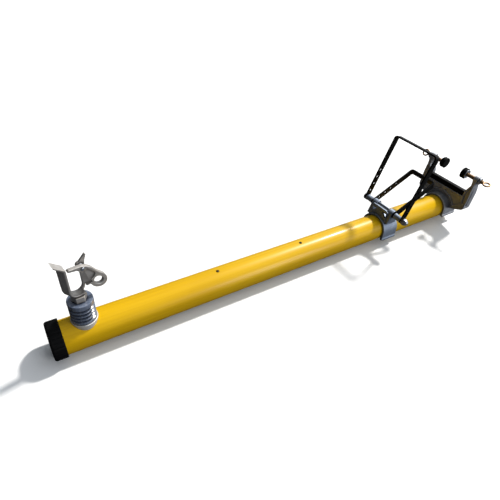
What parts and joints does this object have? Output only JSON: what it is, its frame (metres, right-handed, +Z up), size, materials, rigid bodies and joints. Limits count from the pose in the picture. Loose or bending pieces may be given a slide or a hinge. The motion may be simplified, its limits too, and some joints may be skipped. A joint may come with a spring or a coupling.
{
  "type": "insulated conductor support arm",
  "caption": "Insulated pole that holds a conductor off a crossarm: swivel fork with gate on a stand-off insulator, two swing bails, and a screw-clamp crossarm bracket",
  "frame": {"origin": "centre of the rubber cap's flat outer face, on the pole's axis", "axes": "+X along the pole toward the crossarm bracket, +Z up along the insulator and fork, +Y sideways"},
  "size_m": [1.292, 0.2562, 0.3035],
  "materials": {
    "pole_tube_yellow_gelcoat": "glossy yellow gel-coat over glass fibre",
    "foam_core_pale_foam": "rigid polyurethane foam",
    "end_cap_black_rubber": "moulded black rubber",
    "cap_end_plug_grey_plug": "moulded grey plastic",
    "bracket_end_plug_grey_plug": "moulded grey plastic",
    "pole_rivet_1_dark_rivet": "dark oxidised steel",
    "pole_rivet_2_dark_rivet": "dark oxidised steel",
    "insulator_seat_cast_aluminium": "as-cast grey",
    "insulator_body_blue_grey_insulator": "glossy blue-grey polymer",
    "insulator_stud_zinc_steel": "zinc plated",
    "stud_backing_washer_zinc_steel": "zinc plated",
    "stud_lock_washer_zinc_steel": "zinc plated",
    "stud_nut_zinc_steel": "zinc plated",
    "hex_boss_cast_aluminium": "as-cast grey",
    "fork_set_screw_zinc_steel": "zinc plated",
    "bail_collar_cast_aluminium": "as-cast grey",
    "collar_rivet_front_zinc_steel": "zinc plated",
    "collar_rivet_rear_zinc_steel": "zinc plated",
    "bail_bolt_zinc_steel": "zinc plated",
    "dome_nut_zinc_steel": "zinc plated",
    "bail_washer_near_zinc_steel": "zinc plated",
    "bail_washer_far_zinc_steel": "zinc plated",
    "bail_spacer_near_cast_aluminium": "as-cast grey",
    "bail_spacer_far_cast_aluminium": "as-cast grey",
    "crossarm_bracket_cast_aluminium": "as-cast grey",
    "bracket_screw_front_zinc_steel": "zinc plated",
    "bracket_screw_rear_zinc_steel": "zinc plated",
    "seat_pad_black_rubber": "moulded black rubber",
    "lock_nut_near_zinc_steel": "zinc plated",
    "lock_nut_far_zinc_steel": "zinc plated",
    "conductor_fork_cast_aluminium": "as-cast grey",
    "keeper_pin_zinc_steel": "zinc plated",
    "keeper_spring_zinc_steel": "zinc plated",
    "keeper_lever_cast_aluminium": "as-cast grey",
    "large_bail_black_painted_steel": "black paint, worn at the edges",
    "small_bail_black_painted_steel": "black paint, worn at the edges",
    "swivel_pad_near_black_rubber": "moulded black rubber",
    "pad_cup_near_zinc_steel": "zinc plated",
    "swivel_pad_far_black_rubber": "moulded black rubber",
    "pad_cup_far_zinc_steel": "zinc plated",
    "eye_screw_near_bronze": "dull brown bronze",
    "eye_screw_far_bronze": "dull brown bronze"
  },
  "bodies": {
    "pole": {"pole_tube": "pole_tube_yellow_gelcoat", "foam_core": "foam_core_pale_foam", "end_cap": "end_cap_black_rubber", "cap_end_plug": "cap_end_plug_grey_plug", "bracket_end_plug": "bracket_end_plug_grey_plug", "pole_rivet_1": "pole_rivet_1_dark_rivet", "pole_rivet_2": "pole_rivet_2_dark_rivet", "insulator_seat": "insulator_seat_cast_aluminium", "insulator_body": "insulator_body_blue_grey_insulator", "insulator_stud": "insulator_stud_zinc_steel", "stud_backing_washer": "stud_backing_washer_zinc_steel", "stud_lock_washer": "stud_lock_washer_zinc_steel", "stud_nut": "stud_nut_zinc_steel", "hex_boss": "hex_boss_cast_aluminium", "fork_set_screw": "fork_set_screw_zinc_steel", "bail_collar": "bail_collar_cast_aluminium", "collar_rivet_front": "collar_rivet_front_zinc_steel", "collar_rivet_rear": "collar_rivet_rear_zinc_steel", "bail_bolt": "bail_bolt_zinc_steel", "dome_nut": "dome_nut_zinc_steel", "bail_washer_near": "bail_washer_near_zinc_steel", "bail_washer_far": "bail_washer_far_zinc_steel", "bail_spacer_near": "bail_spacer_near_cast_aluminium", "bail_spacer_far": "bail_spacer_far_cast_aluminium", "crossarm_bracket": "crossarm_bracket_cast_aluminium", "bracket_screw_front": "bracket_screw_front_zinc_steel", "bracket_screw_rear": "bracket_screw_rear_zinc_steel", "seat_pad": "seat_pad_black_rubber", "lock_nut_near": "lock_nut_near_zinc_steel", "lock_nut_far": "lock_nut_far_zinc_steel"},
    "fork": {"conductor_fork": "conductor_fork_cast_aluminium", "keeper_pin": "keeper_pin_zinc_steel", "keeper_spring": "keeper_spring_zinc_steel"},
    "keeper": {"keeper_lever": "keeper_lever_cast_aluminium"},
    "large_bail_body": {"large_bail": "large_bail_black_painted_steel"},
    "small_bail_body": {"small_bail": "small_bail_black_painted_steel"},
    "near_pad_body": {"swivel_pad_near": "swivel_pad_near_black_rubber", "pad_cup_near": "pad_cup_near_zinc_steel"},
    "far_pad_body": {"swivel_pad_far": "swivel_pad_far_black_rubber", "pad_cup_far": "pad_cup_far_zinc_steel"},
    "near_screw_body": {"eye_screw_near": "eye_screw_near_bronze"},
    "far_screw_body": {"eye_screw_far": "eye_screw_far_bronze"}
  },
  "joints": [
    {"name": "fork_swivel", "type": "hinge", "parent": "pole", "child": "fork", "pos_m": [0.0765, 0, 0.107], "axis": [0, 0, 1], "continuous": true},
    {"name": "keeper_pivot", "type": "hinge", "parent": "fork", "child": "keeper", "pos_m": [0.09275, 0.00286, 0.1715], "axis": [0.1736, -0.9848, 0], "range_deg": [0, 85]},
    {"name": "large_bail_swing", "type": "hinge", "parent": "pole", "child": "large_bail_body", "pos_m": [0.9595, 0, 0.0642], "axis": [0, 1, 0], "range_deg": [-108, 78]},
    {"name": "small_bail_swing", "type": "hinge", "parent": "pole", "child": "small_bail_body", "pos_m": [0.9595, 0, 0.0642], "axis": [0, 1, 0], "range_deg": [-157, 31]},
    {"name": "near_clamp_slide", "type": "slide", "parent": "pole", "child": "near_pad_body", "axis": [0, 1, 0], "range_m": [-0.027, 0.006]},
    {"name": "near_clamp_turn", "type": "hinge", "parent": "near_pad_body", "child": "near_screw_body", "pos_m": [1.2562, -0.042, 0.1386], "axis": [0, 1, 0], "range_deg": [-3064, 683]},
    {"name": "far_clamp_slide", "type": "slide", "parent": "pole", "child": "far_pad_body", "axis": [0, -1, 0], "range_m": [-0.027, 0.006]},
    {"name": "far_clamp_turn", "type": "hinge", "parent": "far_pad_body", "child": "far_screw_body", "pos_m": [1.2562, 0.042, 0.1386], "axis": [0, -1, 0], "range_deg": [-3064, 683]}
  ],
  "couplings": [
    {"joint": "near_clamp_turn", "follows": "near_clamp_slide", "rad_per_m": 1979},
    {"joint": "far_clamp_turn", "follows": "far_clamp_slide", "rad_per_m": 1979}
  ]
}
